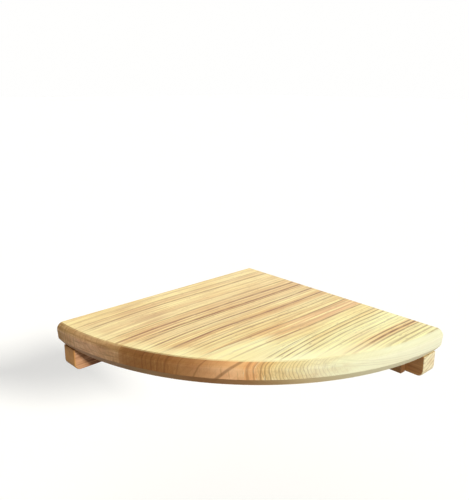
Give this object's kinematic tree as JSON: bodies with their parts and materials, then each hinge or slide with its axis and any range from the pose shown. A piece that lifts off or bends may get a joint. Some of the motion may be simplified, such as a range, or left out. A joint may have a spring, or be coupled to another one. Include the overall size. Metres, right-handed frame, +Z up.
{
  "type": "floating corner shelf",
  "caption": "Quarter-round corner shelf of glued pine staves with a bevelled front edge, resting on wall cleats under its straight sides, with a stiffening batten.",
  "frame": {"origin": "corner of the room, on the line where the underside of the board meets the tops of the cleats", "axes": "+X along the right-hand wall away from the corner, +Y into the right-hand wall, so the board fills x > 0, y < 0 and runs along the left-hand wall towards -Y; +Z up"},
  "size_m": [0.3, 0.3, 0.053],
  "materials": {
    "pine_left": "clear matt lacquer on pale, finely lined pine",
    "pine_middle": "clear matt lacquer on browner pine with strong grain",
    "pine_right": "clear matt lacquer on cream to orange pine",
    "pine_cleat": "clear matt lacquer on plain pine",
    "zinc_screw": "bright zinc plate"
  },
  "bodies": {
    "root": {"stave_left": "pine_left", "stave_middle": "pine_middle", "stave_right": "pine_right", "left_cleat": "pine_cleat", "right_cleat": "pine_cleat", "batten": "pine_cleat", "left_cleat_screw_1": "zinc_screw", "left_cleat_screw_2": "zinc_screw", "left_cleat_screw_3": "zinc_screw", "right_cleat_screw_1": "zinc_screw", "right_cleat_screw_2": "zinc_screw", "right_cleat_screw_3": "zinc_screw", "batten_screw_1": "zinc_screw", "batten_screw_2": "zinc_screw", "batten_screw_3": "zinc_screw"}
  },
  "joints": []
}
